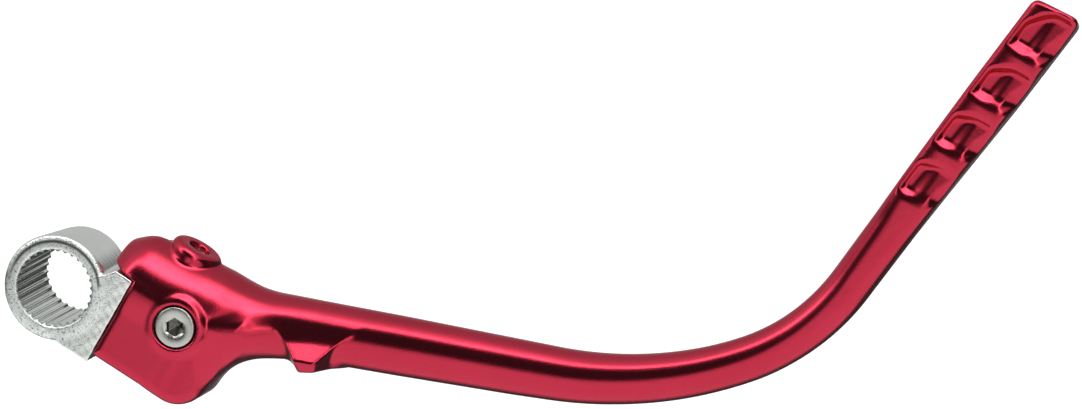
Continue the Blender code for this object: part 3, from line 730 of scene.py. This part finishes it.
# ---------------------------------------------------------------- stage
def make_stage():
    size = FLOOR_HALF * MM
    bm = bmesh.new()
    for x, y in ((-size, -size), (size, -size), (size, size), (-size, size)):
        bm.verts.new((x, y, FLOOR_Z * MM))
    bm.faces.new(bm.verts)
    mesh = bpy.data.meshes.new("floor")
    bm.to_mesh(mesh)
    bm.free()
    material, tree, shader = new_material("pale_floor")
    shader.inputs["Base Color"].default_value = (0.6, 0.6, 0.6, 1)
    shader.inputs["Roughness"].default_value = 0.9
    shader.inputs["Emission Color"].default_value = (1, 1, 1, 1)
    shader.inputs["Emission Strength"].default_value = 0.6
    mesh.materials.append(material)
    floor = bpy.data.objects.new("floor", mesh)
    bpy.context.scene.collection.objects.link(floor)
    floor.visible_glossy = False


def make_world():
    """Studio surround that the metal reflects: a white table below, a dark room behind the lens, a long
    curved softbox round that dark, and a second lamp overhead. The lens only sees a pale backdrop.
    """
    world = bpy.data.worlds.new("studio")
    world.use_nodes = True
    bpy.context.scene.world = world
    tree = world.node_tree
    background = tree.nodes["Background"]
    direction = tree.nodes.new("ShaderNodeTexCoord").outputs["Generated"]

    def along(right_part, up_part, view_part):
        """Cosine of the angle between the ray and a direction given in the picture's own axes."""
        made = tree.nodes.new("ShaderNodeVectorMath")
        made.operation = "DOT_PRODUCT"
        made.inputs[1].default_value = (RIGHT * right_part + UP * up_part + VIEW * view_part).normalized()
        tree.links.new(direction, made.inputs[0])
        return made.outputs["Value"]

    def angle_from(*parts):
        turn = math_node(tree, "ARCCOSINE", along(*parts), 0.0)
        return product(tree, turn, math.degrees(1))

    def bands(angle, stops):
        """Level against an angle, from stops of (degrees, level)."""
        return ramp(tree, between(tree, angle, 0.0, 180.0), [(a / 180, (v / PEAK,) * 3) for a, v in stops])

    across, upward, forward = along(1, 0, 0), along(0, 1, 0), along(0, 0, 1)

    softbox = bands(
        angle_from(-0.452, 0.278, 0.848),
        [
            (0, 0.0), (18, 0.0), (24, 0.1), (29, 0.4), (32, 1.2), (35, 3.4), (40, 4.2), (44, 2.4),
            (48, 1.1), (56, 0.95), (66, 0.8), (80, 0.6), (97, 0.5), (120, 0.45), (180, 0.5),
        ],
    )
    # the softbox stops at a height that rises towards both sides
    right_side = math_node(tree, "MAXIMUM", across, 0.0)
    far_left = math_node(tree, "MINIMUM", math_node(tree, "ADD", across, 0.55), 0.0)
    level = math_node(tree, "SUBTRACT", upward, product(tree, right_side, 0.8))
    level = math_node(tree, "ADD", level, far_left)
    softbox = product(tree, softbox, between(tree, level, -0.3, 0.0))

    lamp = bands(angle_from(0.16, 0.86, 0.48), [(0, 3.0), (9, 3.0), (14, 1.4), (20, 0.5), (27, 0), (180, 0)])

    # the table, in three overlapping parts
    table_left = product(
        tree,
        between(tree, along(0.37, -0.93, 0), -0.08, 0.08),
        between(tree, along(-0.76, -0.65, -0.08), 0.38, 0.5),
    )
    table_below = between(tree, along(-0.15, -0.99, 0), 0.56, 0.68)
    table_right = product(
        tree,
        between(tree, across, -0.3, -0.2),
        between(tree, across, 0.5, 0.3),
        between(tree, upward, -0.12, -0.22),
        between(tree, upward, -0.68, -0.58),
    )
    table = math_node(tree, "MAXIMUM", math_node(tree, "MAXIMUM", table_left, table_below), table_right)
    # it ends below the object, so the outlines stay dark
    table = product(tree, table, between(tree, forward, -0.75, -0.4, 0.0, 1.0 / PEAK))

    total = 0.05 / PEAK
    for light in (softbox, lamp, table):
        total = math_node(tree, "ADD", total, light)
    camera_ray = tree.nodes.new("ShaderNodeLightPath").outputs["Is Camera Ray"]
    seen = math_node(tree, "MAXIMUM", total, product(tree, camera_ray, BACKDROP / PEAK))
    tree.links.new(seen, background.inputs["Color"])
    background.inputs["Strength"].default_value = PEAK


def make_camera():
    data = bpy.data.cameras.new("camera")
    data.sensor_width = 36.0
    data.lens = data.sensor_width * CAMERA_DISTANCE / FRAME_WIDTH
    data.clip_end = 30
    camera = bpy.data.objects.new("camera", data)
    bpy.context.scene.collection.objects.link(camera)
    target = RIGHT * BORE_TO_CENTRE_RIGHT + UP * BORE_TO_CENTRE_UP + VIEW * FOCUS_TOWARDS_LENS
    place = (target + VIEW * CAMERA_DISTANCE) * MM
    camera.matrix_world = Matrix.Translation(place) @ Matrix((RIGHT, UP, VIEW)).transposed().to_4x4()
    bpy.context.scene.camera = camera


# ---------------------------------------------------------------- assembly
def build_arm():
    cell = 0.42
    low = (NOSE_X - 2, -CHEEK_Y - 2, HEAD_LOW - 2)
    high = (ARM_HIGH[0] + 3, CHEEK_Y + 2, ARM_HIGH[2] + 3)
    points, faces = mesh_field(arm_field, low, high, cell)
    arm = object_from("lever_forging", points, faces, red_anodised())
    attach(arm, "lever")
    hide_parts("lever_arm")


def build_knuckle():
    cell = 0.24
    points, faces = mesh_field(knuckle_field, KNUCKLE_LOW - 1.5, KNUCKLE_HIGH + 1.5, cell)
    knuckle = object_from("knuckle_forging", points, faces, zinc_plate())
    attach(knuckle, "knuckle")
    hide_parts("knuckle")


def build_screw():
    """Retaining screw, turned about its axis, with a hexagon socket ending in a cone."""
    face = SCREW_LOW[1]
    rows = [  # radius to a corner, share of hexagon, y
        (2.0, 0, face + 7.5),
        (2.0, 0, face + 4.1),
        (3.0, 0, face + 3.8),
        (3.0, 0, face + 3.4),
        (4.9, 0, face + 3.4),
        (5.0, 0, face + 3.3),
        (5.0, 0, face + 0.4),
        (4.95, 0, face + 0.2),
        (4.8, 0, face + 0.05),
        (4.6, 0, face),
        (2.85, 0, face),
        (2.6, 0, face + 0.08),
        (2.35, 1, face + 0.35),
        (2.35, 1, face + 2.1),
        (0.8, 0.6, face + 2.7),
    ]
    steps = 72
    turn = 2 * np.pi * np.arange(steps) / steps
    hexagon = math.cos(math.pi / 6) / np.cos(turn % (math.pi / 3) - math.pi / 6)
    points = []
    for radius, share, y in rows:
        r = radius * (1 + share * (hexagon - 1))
        x, z = SCREW_X + r * np.cos(turn), PIVOT_Z + r * np.sin(turn)
        points.append(np.stack([x, np.full(steps, y), z], 1))
    points.append(np.array([[SCREW_X, rows[0][2], PIVOT_Z], [SCREW_X, rows[-1][2] + 0.3, PIVOT_Z]]))
    faces = []
    for row in range(len(rows) - 1):
        for i in range(steps):
            a, b = row * steps + i, row * steps + (i + 1) % steps
            faces.append((a, b, b + steps, a + steps))
    back, front = len(rows) * steps, len(rows) * steps + 1
    last = (len(rows) - 1) * steps
    for i in range(steps):
        j = (i + 1) % steps
        faces.append((back, j, i))
        faces.append((front, last + i, last + j))
    screw = object_from("socket_screw", np.concatenate(points), faces, screw_steel())
    screw.data.set_sharp_from_angle(angle=math.radians(35))
    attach(screw, "lever")
    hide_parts("retaining_screw")


def dress_cad_nodes():
    finishes = {
        "pivot_bush": plain_metal("turned_bronze", (0.48, 0.29, 0.12), 0.3),
        "thrust_washer": plain_metal("ground_steel", (0.66, 0.66, 0.64), 0.25),
        "dust_seal": plain_metal("seal_rubber", (0.02, 0.02, 0.02), 0.7, metallic=0.0),
        "detent_ball": plain_metal("polished_ball", (0.75, 0.75, 0.75), 0.08),
        "detent_spring": plain_metal("spring_wire", (0.34, 0.34, 0.36), 0.35),
        "detent_plug": plain_metal("plug_steel", (0.66, 0.66, 0.64), 0.25),
    }
    for name, material in finishes.items():
        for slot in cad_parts[name].material_slots:
            slot.material = material


make_camera()
make_world()
make_stage()
build_arm()
build_knuckle()
build_screw()
dress_cad_nodes()
bpy.context.scene.view_settings.view_transform = "Standard"
